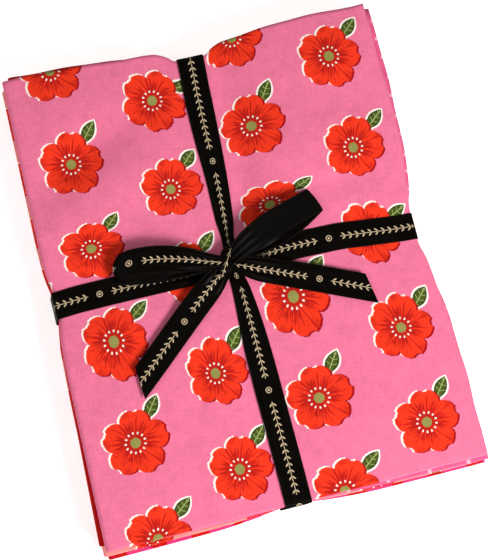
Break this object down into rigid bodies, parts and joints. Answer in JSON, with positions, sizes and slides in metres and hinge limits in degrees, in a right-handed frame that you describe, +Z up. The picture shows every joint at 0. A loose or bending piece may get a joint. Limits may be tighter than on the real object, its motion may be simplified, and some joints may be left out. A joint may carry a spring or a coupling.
{
  "type": "fat quarter bundle",
  "caption": "Stack of folded quilting cotton pieces tied lengthwise and crosswise with a black satin ribbon and a bow on top.",
  "frame": {"origin": "middle of the base of the bounding box, on the surface that the bundle lies on", "axes": "+Z up out of the top piece, where the bow is; +Y along the long side, away from the near folds; +X across, away from the left folds"},
  "size_m": [0.2356, 0.2898, 0.0406],
  "materials": {
    "cotton_magenta": "matt woven quilting cotton",
    "cotton_salmon": "matt woven quilting cotton",
    "cotton_deep_red": "matt woven quilting cotton",
    "cotton_rose": "matt woven quilting cotton",
    "cotton_pink_floral": "matt printed quilting cotton",
    "satin_black": "glossy satin ribbon"
  },
  "bodies": {
    "root": {"fat_quarter_1": "cotton_magenta", "fat_quarter_2": "cotton_salmon", "fat_quarter_3": "cotton_deep_red", "fat_quarter_4": "cotton_rose", "fat_quarter_5": "cotton_pink_floral", "ribbon": "satin_black"}
  },
  "joints": []
}
